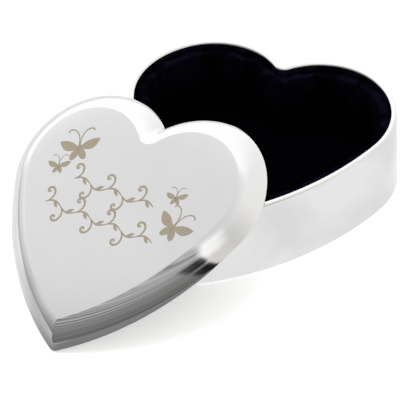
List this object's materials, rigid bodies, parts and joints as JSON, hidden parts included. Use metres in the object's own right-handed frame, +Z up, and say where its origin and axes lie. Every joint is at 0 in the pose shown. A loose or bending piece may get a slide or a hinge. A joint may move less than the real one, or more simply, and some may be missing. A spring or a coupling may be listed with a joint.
{
  "type": "heart-shaped trinket box",
  "caption": "Heart-shaped plated metal trinket box with a dark velvet lining and a loose domed lid that leans on the box with its point on the table.",
  "frame": {"origin": "centre of the box's underside, on the table under the middle of the box's outline (the leaning lid is not counted)", "axes": "+Z up; the box's two lobes point to +Y and its point to -Y; +X is to the right when the point is towards the viewer. The lid leans on the -X and -Y side."},
  "size_m": [0.1147, 0.1277, 0.0425],
  "materials": {
    "plating": "mirror-polished silver plate",
    "etching": "matt engraved marking, taupe",
    "velvet": "midnight-blue pile velvet",
    "felt": "pressed felt",
    "card": "grey card",
    "foam": "soft foam"
  },
  "bodies": {
    "box": {"box_wall": "plating", "base_plate": "plating", "base_felt": "felt", "wall_card": "card", "wall_foam": "foam", "wall_velvet": "velvet", "floor_card": "card", "floor_foam": "foam", "floor_velvet": "velvet"},
    "lid": {"lid_shell": "plating", "lid_collar": "plating", "lid_card": "card", "lid_velvet": "velvet"}
  },
  "joints": [
    {"name": "lid_lift", "type": "slide", "parent": "box", "child": "lid", "axis": [0, 0, 1], "range_m": [0, 0.06]}
  ]
}
